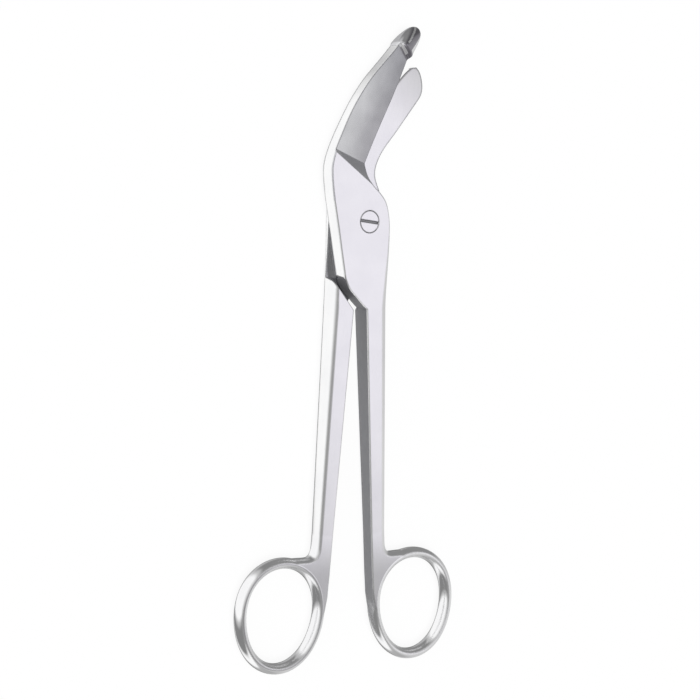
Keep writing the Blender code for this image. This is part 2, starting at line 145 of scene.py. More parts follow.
# The screw.
HEAD = 3.9
HEAD_HEIGHT = 2.4
HEAD_EDGE = 0.2
BODY = 2.3
BODY_EDGE = 0.15
BORE_CLEARANCE = 0.06
SEAT_CLEARANCE = 0.07
SEAT_DEPTH_CLEARANCE = 0.1
SLOT_WIDTH = 0.95
SLOT_DEPTH = 0.9
SLOT_HALF_LENGTH = 8.0
SLOT_TURN = math.radians(-5.5)
ROUND_SIDES = 128
CENTRE = 0.02

# Where the finishes change along Y, and how far the painted shade lines along the edges reach.
SPINE_END = -19.8
LAP_WALL_TOP = 12.0
REAR_INNER_TOP = -17.0
INNER_END = -160.0
EDGE_LINE = 0.6
SPINE_LINE = 1.3

# The studio, from what the photo's polished edges mirror: pairs of a compass turn in degrees, counted from
# +X towards +Y, and a level. A white wall at the left, a narrow one in front, dark gaps between.
WALLS = [
    (0, 0.58), (12, 0.48), (26, 0.26), (98, 0.24), (112, 0.55), (124, 0.98), (192, 0.98), (200, 0.50),
    (207, 0.235), (236, 0.235), (243, 0.80), (250, 0.98), (263, 0.98), (272, 0.45), (290, 0.42),
    (310, 0.62), (330, 0.62), (346, 0.70),
]
CEILING = [
    (0, 0.36), (30, 0.40), (60, 0.42), (90, 0.50), (110, 0.62), (150, 0.68), (188, 0.62), (200, 0.40),
    (215, 0.30), (240, 0.28), (300, 0.34),
]
GROUND = [
    (0, 0.20), (22, 0.22), (45, 0.45), (100, 0.50), (112, 0.75), (124, 0.98), (192, 0.98), (200, 0.50),
    (207, 0.235), (236, 0.235), (243, 0.70), (263, 0.85), (275, 0.40), (300, 0.22), (340, 0.20),
]
CEILING_ELEVATION = (50, 64)
GROUND_ELEVATION = (-52, -42)
SOFT_BOX = (0.556, -0.01, 0.831)
SOFT_BOX_SPREAD = (3, 15)
SOFT_BOX_COLOUR = (0.95, 0.94, 0.975)
TABLE_SIZE = 3.0
TABLE_GAP = 0.0001
TABLE_WHITE = 0.9

# The photo's camera: its place in metres and its own directions.
CAMERA_PLACE = (-0.3848, 0.0012, 0.5802)
CAMERA_RIGHT = (0.8347, 0.0447, 0.549)
CAMERA_UP = (0.0001, 0.9967, -0.0814)
CAMERA_BACK = (-0.5508, 0.068, 0.8319)
CAMERA_LENS = 99.95

# Plan outlines of the laps and blades, from the blade's tip to the shank: first the side towards the other
# shank, then the outer side.
FRONT_STRIP = [
    (14.9, 61.9, 21.8, 56.6), (11.4, 58.4, 20.2, 53.4), (7.4, 54.6, 17.9, 48.8), (2.4, 49.7, 14.6, 42.7),
    (-3.1, 42.8, 11.0, 36.4), (-7.5, 36.0, 7.6, 30.4), (-11.5, 29.1, 4.6, 24.8), (-13.9, 23.9, 2.7, 21.2),
    (-15.0, 20.0, 1.6, 18.9), (-15.15, 16.5, 0.9, 16.6), (-14.95, 12.5, 1.2, 14.4), (-14.6, 8.8, 2.7, 12.3),
    (-14.1, 5.0, 5.2, 9.8), (-13.6, 1.3, 7.6, 6.3), (-12.9, -4.0, 8.7, 0.6), (-12.2, -10.0, 8.7, -6.0),
    (-11.4, -16.2, 8.35, -12.5), (-10.9, -19.6, 8.0, -17.0), (-9.3, -23.3, 7.65, -21.5),
    (-6.2, -26.9, 7.35, -25.5), (-3.4, -30.0, 7.15, -28.8),
]
REAR_STRIP = [
    (18.6, 57.1, 17.0, 56.8), (20.2, 55.6, 15.7, 55.9), (21.4, 53.0, 14.2, 54.6), (22.0, 49.9, 12.7, 52.9),
    (21.4, 46.9, 11.0, 50.8), (19.1, 43.3, 9.0, 48.2), (15.6, 38.1, 5.2, 42.6), (11.8, 32.5, 1.4, 36.6),
    (7.8, 26.9, -2.4, 30.4), (5.6, 22.7, -5.6, 26.0), (4.6, 19.0, -8.2, 22.0), (4.8, 16.2, -10.6, 17.6),
    (5.9, 13.6, -12.2, 13.4), (7.2, 11.0, -13.2, 9.4), (8.5, 5.6, -13.7, 4.5), (8.9, -0.5, -13.4, -1.0),
    (8.7, -7.0, -13.1, -7.0), (8.0, -13.0, -12.9, -12.0), (5.2, -18.5, -12.8, -17.0),
    (1.6, -22.6, -12.75, -21.5), (-1.4, -26.6, -12.7, -25.5), (-3.0, -30.0, -12.7, -28.8),
]


def between(start, end, t):
    """A value between two others, held at the ends."""
    return start + (end - start) * min(max(t, 0.0), 1.0)


def unit(vector):
    """The direction of a vector."""
    return vector / np.linalg.norm(vector)


def smooth_rows(rows, steps):
    """Rows of a Catmull-Rom curve through rows of numbers."""
    rows = [np.array(row, float) for row in rows]
    last = len(rows) - 1
    line = []
    for i in range(last):
        a, b, c, d = (rows[min(max(i + k, 0), last)] for k in (-1, 0, 1, 2))
        for step in range(steps):
            t = step / steps
            line.append(0.5 * (2 * b + (c - a) * t + (2 * a - 5 * b + 4 * c - d) * t ** 2
                               + (3 * b - a - 3 * c + d) * t ** 3))
    return line + [rows[-1]]


def solid(name, sections, closed=False):
    """A closed solid through rings of points, in millimetres."""
    form = bmesh.new()
    rings = [[form.verts.new(Vector(point) * MM) for point in section] for section in sections]
    for i in range(len(rings) if closed else len(rings) - 1):
        near, far = rings[i], rings[(i + 1) % len(rings)]
        for j in range(len(near)):
            k = (j + 1) % len(near)
            form.faces.new((near[j], near[k], far[k], far[j]))
    if not closed:
        form.faces.new(rings[0])
        form.faces.new(rings[-1])
    bmesh.ops.recalc_face_normals(form, faces=form.faces)
    mesh = bpy.data.meshes.new(name)
    form.to_mesh(mesh)
    form.free()
    piece = bpy.data.objects.new(name, mesh)
    bpy.context.scene.collection.objects.link(piece)
    return piece


def turned(name, profile):
    """A solid of revolution on the joint axis, through pairs of a radius and a height."""
    turns = [2 * math.pi * i / ROUND_SIDES for i in range(ROUND_SIDES)]
    return solid(name, [[(r * math.cos(a), r * math.sin(a), z) for a in turns] for r, z in profile])


def shape(piece, steps):
    """Join or cut a piece with other solids in turn, and keep only the result."""
    for operation, tool in steps:
        step = piece.modifiers.new(tool.name, "BOOLEAN")
        step.operation = operation
        step.object = tool
        step.solver = "EXACT"
        # inside the ring's tube the web's stations cross each other, so this union also mends the half itself
        step.use_self = tool.name == "ring"
    weld = piece.modifiers.new("weld", "WELD")
    weld.merge_threshold = WELD * MM
    depsgraph = bpy.context.evaluated_depsgraph_get()
    mesh = bpy.data.meshes.new_from_object(piece.evaluated_get(depsgraph))
    name = piece.name
    for old in [piece] + [tool for operation, tool in steps]:
        bpy.data.objects.remove(old, do_unlink=True)
    mesh.name = name
    return mesh


def ring_point(angle):
    """Centre line of a finger ring, out from the parting line."""
    mean = (RING_HALF_LENGTH + RING_HALF_WIDTH) / 2
    swing = (RING_HALF_LENGTH - RING_HALF_WIDTH) / 2
    radius = mean - swing * math.cos(2 * angle) + RING_EGG * math.sin(3 * angle)
    return np.array((RING_X + radius * math.cos(angle), -RING_REACH + radius * math.sin(angle)))


def oval(centre, across, half_width, half_depth, middle, fullness, count):
    """Points of a full oval that stands upright on a plan direction."""
    points = []
    for i in range(count):
        angle = 2 * math.pi * i / count
        c, s = math.cos(angle), math.sin(angle)
        plan = centre + across * math.copysign(abs(c) ** (2 / fullness), c) * half_width
        rise = math.copysign(abs(s) ** (2 / fullness), s) * half_depth
        points.append((plan[0], plan[1], middle + rise))
    return points


def outward(points, side):
    """Points given out from the parting line, for the right (+1) or left (-1) half."""
    return [(PARTING + side * x, y, z) for x, y, z in points]


def finger_ring(side):
    """The finger ring of one half: an oval tube on its centre line."""
    sections = []
    for i in range(RING_STATIONS):
        angle = 2 * math.pi * i / RING_STATIONS
        run = ring_point(angle + 1e-4) - ring_point(angle - 1e-4)
        across = unit(np.array((run[1], -run[0])))
        tube = oval(ring_point(angle), across, TUBE_WIDTH / 2, TUBE_DEPTH / 2, MIDDLE,
                    TUBE_FULLNESS, TUBE_SIDES)
        sections.append(outward(tube, side))
    return solid("ring", sections, closed=True)


def lap_rows(strip, side):
    """Stations of the blade and the lap. Every row has its inner and outer edge, the place where the outer
    round meets the face, the thickness and the rise of that round, and the inner round's reach and rise."""
    rows = []
    for inner_x, inner_y, outer_x, outer_y in smooth_rows(strip, 4):
        inner = np.array(((inner_x - PARTING) * side, inner_y))
        outer = np.array(((outer_x - PARTING) * side, outer_y))
        share = (outer_y - LAP_ROUND_START) / (SHANK_TOP - LAP_ROUND_START)
        rounding = between(LAP_ROUND, SHANK_ROUND[0], share)
        flat = outer + unit(inner - outer) * rounding
        rows.append((*inner, *outer, *flat, THICK, rounding, FACE_EDGE, FACE_EDGE))
    return rows


def straight_rows():
    """Stations of the straight shank."""
    rows = []
    for i in range(13):
        t = i / 12
        y = between(SHANK_TOP, SHANK_END, t)
        outer = INNER_SIDE + between(*SHANK_WIDTH, t)
        rounding = between(*SHANK_ROUND, t)
        rows.append((INNER_SIDE, y, outer, y, outer - rounding, y, between(*SHANK_THICK, t), rounding,
                     INNER_ROUND, INNER_ROUND))
    return rows


def web_rows(last_row):
    """Stations of the web, where the outer side swings over to the top of the ring."""
    outer = INNER_SIDE + SHANK_WIDTH[1]
    reach = ring_point(math.radians(WEB_RING_DEG))[0] - outer
    bend = [last_row]
    for i, (down, share, height, turn) in enumerate(WEB_STATIONS):
        rounding = SHANK_ROUND[1] * between(1.0, 0.87, (i - 1) / 3)
        edge = np.array((outer + reach * share, RING_TOP + WEB_ROUND * height))
        turn = math.radians(turn)
        flat = edge - np.array((math.cos(turn), math.sin(turn))) * rounding
        bend.append((INNER_SIDE, SHANK_END - WEB_LENGTH * down, *edge, *flat, SHANK_THICK[1], rounding,
                     INNER_ROUND, INNER_ROUND))
    return smooth_rows(bend, 4)[1:]


def hidden_rows():
    """Stations beside the ring, whose outer side runs hidden inside the ring's tube."""
    rows = []
    for i in range(9):
        t = i / 8
        on_ring = ring_point(math.radians(between(*HIDDEN_DEG, t)))
        y = between(SHANK_END - WEB_LENGTH * HIDDEN_START, -RING_REACH - TUBE_WIDTH / 2, t)
        inner = np.array((between(INNER_SIDE, INNER_SIDE + INNER_BOW, 2 * t - 1), y))
        flat = on_ring + unit(inner - on_ring) * HIDDEN_ROUND
        reach, rise = (between(INNER_ROUND, end, t) for end in INNER_END_ROUND)
        rows.append((*inner, *on_ring, *flat, SHANK_THICK[1], HIDDEN_ROUND, reach, rise))
    return rows


def corner(edge, flat, z, up, rise, steps):
    """A rounded long edge in one section, from the side wall to the face."""
    points = []
    for i in range(steps + 1):
        turn = math.pi / 2 * i / steps
        plan = edge + (flat - edge) * (1 - math.cos(turn))
        points.append((plan[0], plan[1], z - up * rise * (1 - math.sin(turn))))
    return points


def half(name, strip, side):
    """Blade, lap, shank and web of one half, before its cuts."""
    rows = lap_rows(strip, side) + straight_rows()
    rows += web_rows(rows[-1]) + hidden_rows()
    sections = []
    for row in rows:
        inner, outer, flat = np.array(row[0:2]), np.array(row[2:4]), np.array(row[4:6])
        thick, rise, reach, inner_rise = row[6:]
        low, high = MIDDLE - thick / 2, MIDDLE + thick / 2
        inner_flat = inner + unit(flat - inner) * reach
        section = corner(outer, flat, high, 1, rise, 12)
        section += corner(inner, inner_flat, high, 1, inner_rise, 6)[::-1]
        section += corner(inner, inner_flat, low, -1, inner_rise, 6)
        section += corner(outer, flat, low, -1, rise, 12)[::-1]
        sections.append(outward(section, side))
    return solid(name, sections)


def pocket(name, foot, degrees, low, high, lean):
    """The space beyond a slanted shoulder, milled away to leave the lap thin."""
    run = np.array((math.cos(math.radians(degrees)), math.sin(math.radians(degrees))))
    away = np.array((-run[1], run[0])) * (1 if run[0] > 0 else -1)
    start, end = np.array(foot) - run * 90, np.array(foot) + run * 90
    base = [start, end, end + away * 200, start + away * 200]
    top = [start - away * lean, end - away * lean, base[2], base[3]]
    return solid(name, [[(*p, low) for p in base], [(*p, high) for p in top]])


def grinding_wheel():
    """What the front blade's hollow grind takes away, from its run-out at the joint to the nose."""
    root, middle, tip = (MATING + height for height in SPINE_HEIGHTS)
    edge = MATING + EDGE_LAND
    above = THICK + WHEEL_MARGIN
    runout = [((-15.8, 21.5, above), (-0.2, 6.0, above)), ((-13.7, 25.6, THICK), (5.2, 10.2, THICK))]
    spine = [(-13.3, 26.2, root), (-11.0, 30.0, root), (-6.8, 37.1, middle), (-2.4, 43.7, middle),
             (3.0, 50.4, middle), (8.2, 55.4, middle), (14.0, 60.8, tip), (19.0, 66.0, tip)]
    cutting = [(2.5, 20.3, edge), (4.8, 25.2, edge), (8.2, 31.4, edge), (11.5, 37.4, edge),
               (15.1, 43.6, edge), (18.4, 49.8, edge), (21.2, 55.4, edge), (24.0, 61.0, edge)]
    sections = []
    for i, (a, b) in enumerate(runout + list(zip(smooth_rows(spine, 6), smooth_rows(cutting, 6)))):
        a, b = np.array(a), np.array(b)
        width = np.linalg.norm((b - a)[:2])
        hollow = HOLLOW * between(0.0, 1.0, (i - 3) / 8)
        section = []
        for step in range(13):
            t = (-WHEEL_MARGIN + (width + 2 * WHEEL_MARGIN) * step / 12) / width
            inside = between(0.0, 1.0, t)
            point = a + (b - a) * t
            section.append((point[0], point[1], point[2] - hollow * 4 * inside * (1 - inside)))
        section += [(*section[-1][:2], 2 * THICK), (*section[0][:2], 2 * THICK)]
        sections.append(section)
    return solid("grinding_wheel", sections)


def soft_min(a, b, reach):
    """The lower of two heights, with the corner between them eased over a reach."""
    share = between(0.0, 1.0, 0.5 + 0.5 * (b - a) / reach)
    return b + (a - b) * share - reach * share * (1 - share)


def nose_top(offset, step):
    """Height of the nose across its axis: the ground face before the step and the crowned roof after it."""
    share = 0.5 + offset / (2 * NOSE_HALF_WIDTH)
    ground = MATING - 0.2 + between(SPINE_HEIGHTS[2], EDGE_LAND, share)
    away = offset - NOSE_CREST
    fall = FALL_LEFT * away ** 2 if away < 0 else FALL_RIGHT[0] * away + FALL_RIGHT[1] * away ** 2
    roof = THICK - ROOF_SINK - fall
    return ground + (max(roof, ground) - ground) * step


def nose():
    """The blunt probe at the end of the front blade."""
    axis = np.array((math.sin(NOSE_AXIS), math.cos(NOSE_AXIS)))
    across = np.array((axis[1], -axis[0]))
    half_depth = (THICK - NOSE_FLOOR) / 2
    middle = NOSE_FLOOR + half_depth
    sections = []
    for i in range(NOSE_STATIONS):
        t = i / (NOSE_STATIONS - 1)
        s = NOSE_START + (NOSE_LENGTH - NOSE_START) * (0.35 * t + 0.65 * math.sin(math.pi / 2 * t))
        share = (s - NOSE_START) / NOSE_LENGTH
        body = math.sqrt(max(1 - (s / NOSE_LENGTH) ** 2.6, 0.0004))
        width = NOSE_HALF_WIDTH * body * between(0.965, 1.0, share / 0.125)
        centre = np.array(NOSE_ROOT) + axis * s
        fullness = between(5.0, 2.2, share / 0.58)
        step = between(0.0, 1.0, (s - NOSE_START - STEP_DELAY) / STEP_LENGTH)
        step = step * step * (3 - 2 * step)
        ease = between(0.02, 1.2, share / 0.42)
        outer_share = between(1.0, NOSE_OUTER_SHARE, share / 0.3)
        section = []
        for x, y, z in oval(centre, across, width, half_depth * body, middle, fullness, NOSE_SIDES):
            offset = float((np.array((x, y)) - centre) @ across)
            if offset > 0:
                x, y = centre + across * offset * outer_share
            bottom = MATING + 0.05 - (s - NOSE_START) * 0.5 + (RIM if z > middle else 0.0)
            section.append((x, y, max(soft_min(z, nose_top(offset, step), ease), bottom)))
        sections.append(section)
    return solid("nose", sections)


def rear_grind():
    """What the grind on the back of the rear blade takes away, up to the cutting edge."""
    corners = np.array(REAR_STRIP[2:13])[:, 2:4]
    edge = (corners[1:] + corners[:-1]) / 2
    last = len(edge) - 1
    sections = []
    for i, point in enumerate(edge):
        run = unit(edge[min(i + 1, last)] - edge[max(i - 1, 0)])
        inward = np.array((-run[1], run[0]))
        if i == 0:
            point = point - run * 4
        fade = 1.0 if i < last - 1 else 0.0
        slope = (REAR_LAP - REAR_EDGE_LAND) / REAR_GRIND_WIDTH * fade
        drop = 0.4 * (1 - fade)
        near, far = point + inward * REAR_GRIND_WIDTH, point - inward * REAR_GRIND_PAST
        top = slope * (REAR_GRIND_WIDTH + REAR_GRIND_PAST) - drop
        sections.append([(*near, -drop), (*far, top), (*far, -3), (*near, -3)])
    return solid("rear_grind", sections)


def drum(name, radius, low):
    """A round cutter on the joint axis, from a height to above the face."""
    return turned(name, [(radius, low), (radius, THICK + OVERCUT)])


def front_mesh():
    """The front half: its ring is joined, then the lap, the grind and the screw's seat are cut."""
    return shape(half("front", FRONT_STRIP, 1), [
        ("UNION", finger_ring(1)),
        ("DIFFERENCE", pocket("front_pocket", FRONT_SHOULDER, FRONT_SHOULDER_DEG, -OVERCUT, MATING, 0.0)),
        ("DIFFERENCE", grinding_wheel()),
        ("DIFFERENCE", drum("bore", BODY + BORE_CLEARANCE, -OVERCUT)),
        ("DIFFERENCE", drum("seat", HEAD + SEAT_CLEARANCE, THICK - HEAD_HEIGHT - SEAT_DEPTH_CLEARANCE)),
        ("UNION", nose()),
    ])


def rear_mesh():
    """The rear half: its ring is joined, then the lap, the back grind and the screw's bore are cut."""
    return shape(half("rear", REAR_STRIP, -1), [
        ("UNION", finger_ring(-1)),
        ("DIFFERENCE", pocket("rear_pocket", REAR_SHOULDER, REAR_SHOULDER_DEG, REAR_LAP, THICK + OVERCUT,
                              REAR_SHOULDER_LEAN)),
        ("DIFFERENCE", rear_grind()),
        ("DIFFERENCE", drum("bore", BODY + BORE_CLEARANCE, -OVERCUT)),
    ])


def screw_mesh():
    """The turned screw, with a slot across its head and its rim broken."""
    seat = THICK - HEAD_HEIGHT
    broken = 0.3 * HEAD_EDGE
    body = turned("screw", [
        (CENTRE, 0), (BODY - BODY_EDGE, 0), (BODY, BODY_EDGE), (BODY, seat), (HEAD, seat),
        (HEAD, THICK - HEAD_EDGE), (HEAD - broken, THICK - broken), (HEAD - HEAD_EDGE, THICK),
        (CENTRE, THICK),
    ])
    c, s = math.cos(SLOT_TURN), math.sin(SLOT_TURN)
    corners = []
    for x, y in ((-1, -1), (1, -1), (1, 1), (-1, 1)):
        x, y = x * SLOT_HALF_LENGTH, y * SLOT_WIDTH / 2
        corners.append((x * c - y * s, x * s + y * c))
    slot = solid("slot", [[(*p, z) for p in corners] for z in (THICK - SLOT_DEPTH, THICK + 1)])
    return shape(body, [("DIFFERENCE", slot)])


def nodes_of(name):
    """A new material with its node tree and its shader."""
    material = bpy.data.materials.new(name)
    material.use_nodes = True
    tree = material.node_tree
    return material, tree, tree.nodes["Principled BSDF"]


def metal(name):
    """A new metal with its node tree and its shader."""
    material, tree, shader = nodes_of(name)
    shader.inputs["Metallic"].default_value = 1.0
    return material, tree, shader


def add_node(tree, kind, **settings):
    """A new node with its settings."""
    node = tree.nodes.new(kind)
    for key, value in settings.items():
        setattr(node, key, value)
    return node


def noise(tree, scale, stretch=(1, 1, 1), detail=3.0, seed=0.0):
    """Noise in object space, stretched along an axis for a brushed grain."""
    place = add_node(tree, "ShaderNodeTexCoord")
    mapping = add_node(tree, "ShaderNodeMapping")
    mapping.inputs["Scale"].default_value = stretch
    mapping.inputs["Location"].default_value = (seed, seed, seed)
    texture = add_node(tree, "ShaderNodeTexNoise")
    texture.inputs["Scale"].default_value = scale
    texture.inputs["Detail"].default_value = detail
    tree.links.new(place.outputs["Object"], mapping.inputs["Vector"])
    tree.links.new(mapping.outputs["Vector"], texture.inputs["Vector"])
    return texture.outputs["Fac"]


def spread(tree, value, low, high):
    """Map a noise value to a range."""
    node = add_node(tree, "ShaderNodeMapRange")
    node.inputs["From Min"].default_value = 0.3
    node.inputs["From Max"].default_value = 0.7
    node.inputs["To Min"].default_value = low
    node.inputs["To Max"].default_value = high
    tree.links.new(value, node.inputs["Value"])
    return node.outputs["Result"]


def fade(tree, value, start, end):
    """A share that goes smoothly from 0 to 1 between two values."""
    node = add_node(tree, "ShaderNodeMapRange", interpolation_type="SMOOTHSTEP")
    node.inputs["From Min"].default_value = start
    node.inputs["From Max"].default_value = end
    tree.links.new(value, node.inputs["Value"])
    return node.outputs["Result"]


def mixed(tree, share, first, second, **settings):
    """One colour changing to another along a share. Each is plain numbers or the output of a node."""
    mix = add_node(tree, "ShaderNodeMix", data_type="RGBA", **settings)
    tree.links.new(share, mix.inputs["Factor"])
    for name, colour in (("A", first), ("B", second)):
        if isinstance(colour, tuple):
            mix.inputs[name].default_value = (*colour, 1)
        else:
            tree.links.new(colour, mix.inputs[name])
    return mix.outputs["Result"]


def likeness(tree, value, direction):
    """Dot product of a vector with a fixed direction or with another node's vector."""
    node = add_node(tree, "ShaderNodeVectorMath", operation="DOT_PRODUCT")
    tree.links.new(value, node.inputs[0])
    if isinstance(direction, tuple):
        node.inputs[1].default_value = direction
    else:
        tree.links.new(direction, node.inputs[1])
    return node.outputs["Value"]


def along(tree, direction, start, end):
    """How far a point of the piece lies along a direction: 0 at the start, 1 at the end, in millimetres."""
    place = add_node(tree, "ShaderNodeTexCoord")
    return fade(tree, likeness(tree, place.outputs["Object"], direction), start * MM, end * MM)


def broken_edges(tree, radius, samples):
    """The direction of the surface with its edges broken over a radius in millimetres."""
    node = add_node(tree, "ShaderNodeBevel", samples=samples)
    node.inputs["Radius"].default_value = radius * MM
    return node.outputs["Normal"]


def painted_edge_shade(tree, shader, reach):
    """Painted shade: thin grey lines along the broken edges, multiplied into the base colour."""
    plain = add_node(tree, "ShaderNodeNewGeometry").outputs["Normal"]
    share = fade(tree, likeness(tree, broken_edges(tree, reach, 6), plain), 0.985, 0.88)
    base = shader.inputs["Base Color"].links[0].from_socket
    # the grey of the painted edge shade
    colour = mixed(tree, share, base, (0.36, 0.36, 0.37), blend_type="MULTIPLY")
    tree.links.new(colour, shader.inputs["Base Color"])


def relief(tree, shader, height, depth, edge, lean=None):
    """Fine relief over softly broken edges, in millimetres, on a wall whose shading may lean a little, with
    painted shade lines along the edges.
    """
    facing = broken_edges(tree, edge, 4)
    if lean:
        tipped = add_node(tree, "ShaderNodeVectorMath", operation="ADD")
        tipped.inputs[1].default_value = lean
        tree.links.new(facing, tipped.inputs[0])
        evened = add_node(tree, "ShaderNodeVectorMath", operation="NORMALIZE")
        tree.links.new(tipped.outputs[0], evened.inputs[0])
        facing = evened.outputs[0]
    node = add_node(tree, "ShaderNodeBump")
    node.inputs["Strength"].default_value = 0.3
    node.inputs["Distance"].default_value = depth * MM
    tree.links.new(height, node.inputs["Height"])
    tree.links.new(facing, node.inputs["Normal"])
    tree.links.new(node.outputs["Normal"], shader.inputs["Normal"])
    painted_edge_shade(tree, shader, SPINE_LINE if lean else EDGE_LINE)


def steel(name, dark, light, roughness, grain, stretch, depth=0.01, edge=0.4, lean=None):
    """Steel with a fine grain that varies its colour, roughness and relief."""
    material, tree, shader = metal(name)
    cloud = spread(tree, noise(tree, 90.0, detail=2.0, seed=3.0), 0, 1)
    lines = noise(tree, grain, stretch, 4.0)
    tree.links.new(mixed(tree, cloud, dark, light), shader.inputs["Base Color"])
    tree.links.new(spread(tree, lines, *roughness), shader.inputs["Roughness"])
    relief(tree, shader, lines, depth, edge, lean)
    return material


def satin_steel(name, direction, start, end, dim, edge, lap=None):
    """Brushed faces that get dimmer along a direction, with painted shade on the strip beside the other
    half's lap.
    """
    material, tree, shader = metal(name)
    cloud = spread(tree, noise(tree, 90.0, detail=2.0, seed=3.0), 0, 1)
    lines = noise(tree, 900.0, (5.0, 0.4, 5.0), 4.0)
    light = mixed(tree, cloud, (0.855, 0.845, 0.88), (0.90, 0.89, 0.92))
    dark = mixed(tree, cloud, tuple(0.96 * dim * c for c in (1, 0.99, 1.02)), (dim, dim, dim))
    colour = mixed(tree, along(tree, direction, start, end), light, dark)
    if lap:
        # painted shade: the darker colour of the strip beside the other half's lap
        painted_shade = mixed(tree, cloud, (0.52, 0.52, 0.54), (0.58, 0.58, 0.60))
        colour = mixed(tree, along(tree, (0.0, 1.0, 0.0), *lap), painted_shade, colour)
    tree.links.new(colour, shader.inputs["Base Color"])
    tree.links.new(spread(tree, lines, 0.12, 0.17), shader.inputs["Roughness"])
    relief(tree, shader, lines, 0.01, edge)
    return material


def ground_steel():
    """The hollow-ground blade face: lines across the blade, darker towards the nose and the cutting edge."""
    material, tree, shader = metal("ground_blade")
    lines = noise(tree, 700.0, (3.0, 0.5, 3.0), 4.0)
    cloud = spread(tree, noise(tree, 130.0, detail=3.0, seed=5.0), 0, 1)
    base = mixed(tree, cloud, (0.84, 0.84, 0.87), (0.95, 0.95, 0.98))
    edge = mixed(tree, cloud, (0.55, 0.54, 0.58), (0.66, 0.65, 0.69))
    tip = mixed(tree, cloud, (0.40, 0.40, 0.43), (0.50, 0.50, 0.54))
    colour = mixed(tree, along(tree, (0.0, 0.0, -1.0), -7.0, -2.2), base, edge)
    colour = mixed(tree, along(tree, (0.549, 0.836, 0.0), 28.0, 64.0), colour, tip)
    tree.links.new(colour, shader.inputs["Base Color"])
    tree.links.new(spread(tree, lines, 0.22, 0.32), shader.inputs["Roughness"])
    relief(tree, shader, lines, 0.002, 0.3)
    return material


def inner_steel():
    """The inner sides that face each other: a rougher, less metallic steel whose dark colour is painted
    shade, getting bright where they run out into the rings.
    """
    material, tree, shader = nodes_of("inner_side")
    lines = noise(tree, 900.0, (4.0, 0.4, 4.0), 4.0)
    # painted shade: the dark colour of the sides between the two halves
    painted_shade = mixed(tree, spread(tree, lines, 0, 1), (0.30, 0.30, 0.315), (0.34, 0.34, 0.355))
    share = along(tree, (0.0, -1.0, 0.0), 132.0, 154.0)
    tree.links.new(mixed(tree, share, painted_shade, (0.95, 0.95, 0.96)), shader.inputs["Base Color"])
    for socket, first, last in (("Roughness", 0.42, 0.07), ("Metallic", 0.45, 1.0)):
        change = add_node(tree, "ShaderNodeMapRange")
        change.inputs["To Min"].default_value = first
        change.inputs["To Max"].default_value = last
        tree.links.new(share, change.inputs["Value"])
        tree.links.new(change.outputs["Result"], shader.inputs[socket])
    relief(tree, shader, lines, 0.008, 0.3)
    return material


def nose_steel():
    """The polished probe: lighter on the side of the blade's spine, and dark past it as painted shade."""
    material, tree, shader = metal("probe_nose")
    cloud = spread(tree, noise(tree, 400.0, detail=2.0, seed=2.0), 0, 1)
    left = mixed(tree, cloud, (0.82, 0.82, 0.84), (0.90, 0.90, 0.92))
    # painted shade: the dark colour past the spine's side of the nose
    right = mixed(tree, cloud, (0.30, 0.29, 0.32), (0.36, 0.35, 0.38))
    opened = NOSE_AXIS - FRONT_OPEN
    middle = NOSE_ROOT[0] * math.cos(NOSE_AXIS) - NOSE_ROOT[1] * math.sin(NOSE_AXIS)
    across = (math.cos(opened), -math.sin(opened), 0.0)
    share = along(tree, across, middle - 3.4, middle - 2.2)
    tree.links.new(mixed(tree, share, left, right), shader.inputs["Base Color"])
    shader.inputs["Roughness"].default_value = 0.10
    relief(tree, shader, cloud, 0.004, 0.5)
    return material


EVEN = (1, 1, 1)
SPINE_LOOK = ((0.94, 0.94, 0.95), (0.99, 0.99, 0.99), (0.08, 0.12), 600, EVEN, 0.003, 1.3)

SATIN = satin_steel("satin_face", (0.0, -1.0, 0.0), 110.0, 128.0, 0.60, 0.5)
# The rear blade's strip beside the front half's lap is darkened as painted shade.
BLADE = satin_steel("rear_blade", (0.65, 0.76, 0.0), 30.0, 64.0, 0.64, 0.9, lap=(3.0, 9.0))
POLISH = steel("polished", (0.93, 0.93, 0.94), (0.98, 0.98, 0.98), (0.05, 0.09), 600, EVEN, 0.002, 1.0)
GROUND_FACE = ground_steel()
RUNOUT = steel("grind_runout", (0.66, 0.66, 0.69), (0.76, 0.76, 0.79), (0.40, 0.50), 1200, EVEN)
INNER = inner_steel()
NOSE = nose_steel()
SPINE = steel("blade_spine", *SPINE_LOOK, lean=(-0.45, 0.13, 0.0))
LAP_WALL = steel("lap_wall", *SPINE_LOOK, lean=(-0.45, 0.13, 0.6))
SCREW = steel("screw_face", (0.86, 0.85, 0.885), (0.91, 0.90, 0.93), (0.11, 0.15), 900, (1, 5, 1),
              edge=0.1)


def nose_highlights_and_shade(past_root, offset, normal):
    """Painted highlights on the nose: the bright steel on the step's front, on the crest and down its right
    side; elsewhere the nose steel.
    """
    # painted highlights: these faces take the bright polished steel
    on_step = 1.35 < past_root < 1.8 and -3.4 < offset < 1.6
    on_crest = past_root > 4 and abs(offset - NOSE_CREST) < 0.35
    on_right = past_root > 3 and offset > 1.7
    return POLISH if normal.z > 0 and (on_step or on_crest or on_right) else NOSE


